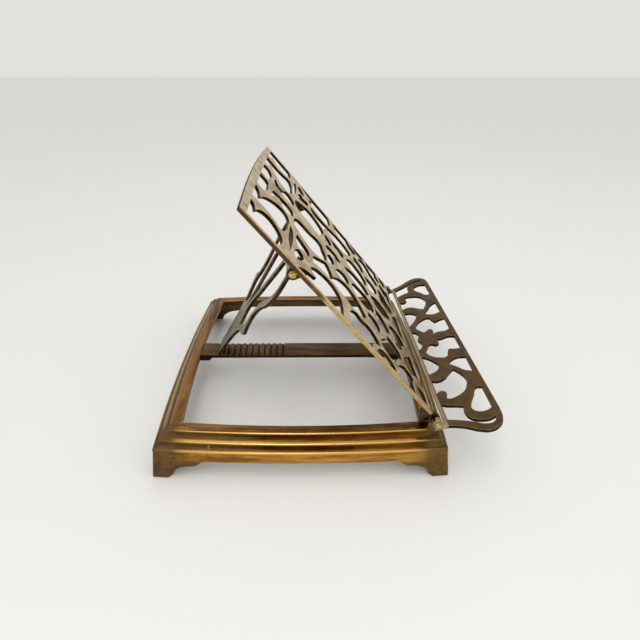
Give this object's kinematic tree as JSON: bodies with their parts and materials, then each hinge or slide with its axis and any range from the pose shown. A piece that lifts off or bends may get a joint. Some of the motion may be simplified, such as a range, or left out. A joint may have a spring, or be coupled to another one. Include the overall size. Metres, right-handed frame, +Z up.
{
  "type": "music stand",
  "caption": "Folding table music stand in aged brass: an openwork back and ledge hinged on a moulded square base, held up by a prop over a notched bar",
  "frame": {"origin": "middle of the footprint on the surface the feet stand on", "axes": "+X across the stand to the right as its reader sees it, +Y away from the reader, +Z up"},
  "size_m": [0.282, 0.2866, 0.2244],
  "materials": {
    "base_brass": "aged cast brass, polished golden along the mouldings, brown in the grooves",
    "bar_brass": "dull dark brown brass, worn lighter on the teeth",
    "panel_brass": "pale gold satin face with dark edges and back",
    "ledge_brass": "dark bronze brown with rust tints and a rubbed bright rim",
    "prop_brass": "olive brown brass with rubbed edges",
    "screw_brass": "bright brass"
  },
  "bodies": {
    "base": {"base_frame": "base_brass", "ratchet_bar": "bar_brass", "hinge_lug_left": "base_brass", "hinge_lug_right": "base_brass", "hinge_pin_left": "screw_brass", "hinge_pin_right": "screw_brass", "hinge_washer_left": "screw_brass", "hinge_washer_right": "screw_brass"},
    "panel": {"back_panel": "panel_brass", "prop_lug_left": "panel_brass", "prop_lug_right": "panel_brass", "prop_screw_left": "screw_brass", "prop_screw_right": "screw_brass", "ledge_screw_left": "screw_brass", "ledge_screw_right": "screw_brass"},
    "prop": {"prop": "prop_brass", "prop_washer_left": "screw_brass", "prop_washer_right": "screw_brass"},
    "ledge": {"ledge": "ledge_brass", "ledge_washer_left": "screw_brass", "ledge_washer_right": "screw_brass"}
  },
  "joints": [
    {"name": "panel_tilt", "type": "hinge", "parent": "base", "child": "panel", "pos_m": [0, -0.08465, 0.0494], "axis": [1, 0, 0], "range_deg": [-45, 20]},
    {"name": "prop_swing", "type": "hinge", "parent": "panel", "child": "prop", "pos_m": [0, 0.02212, 0.16321], "axis": [1, 0, 0], "range_deg": [-47.5, 106]},
    {"name": "ledge_fold", "type": "hinge", "parent": "panel", "child": "ledge", "pos_m": [0, -0.09261, 0.04779], "axis": [1, 0, 0], "range_deg": [-113.5, 0]}
  ],
  "couplings": [
    {"joint": "prop_swing", "follows": "panel_tilt", "ratio": -2.35}
  ]
}
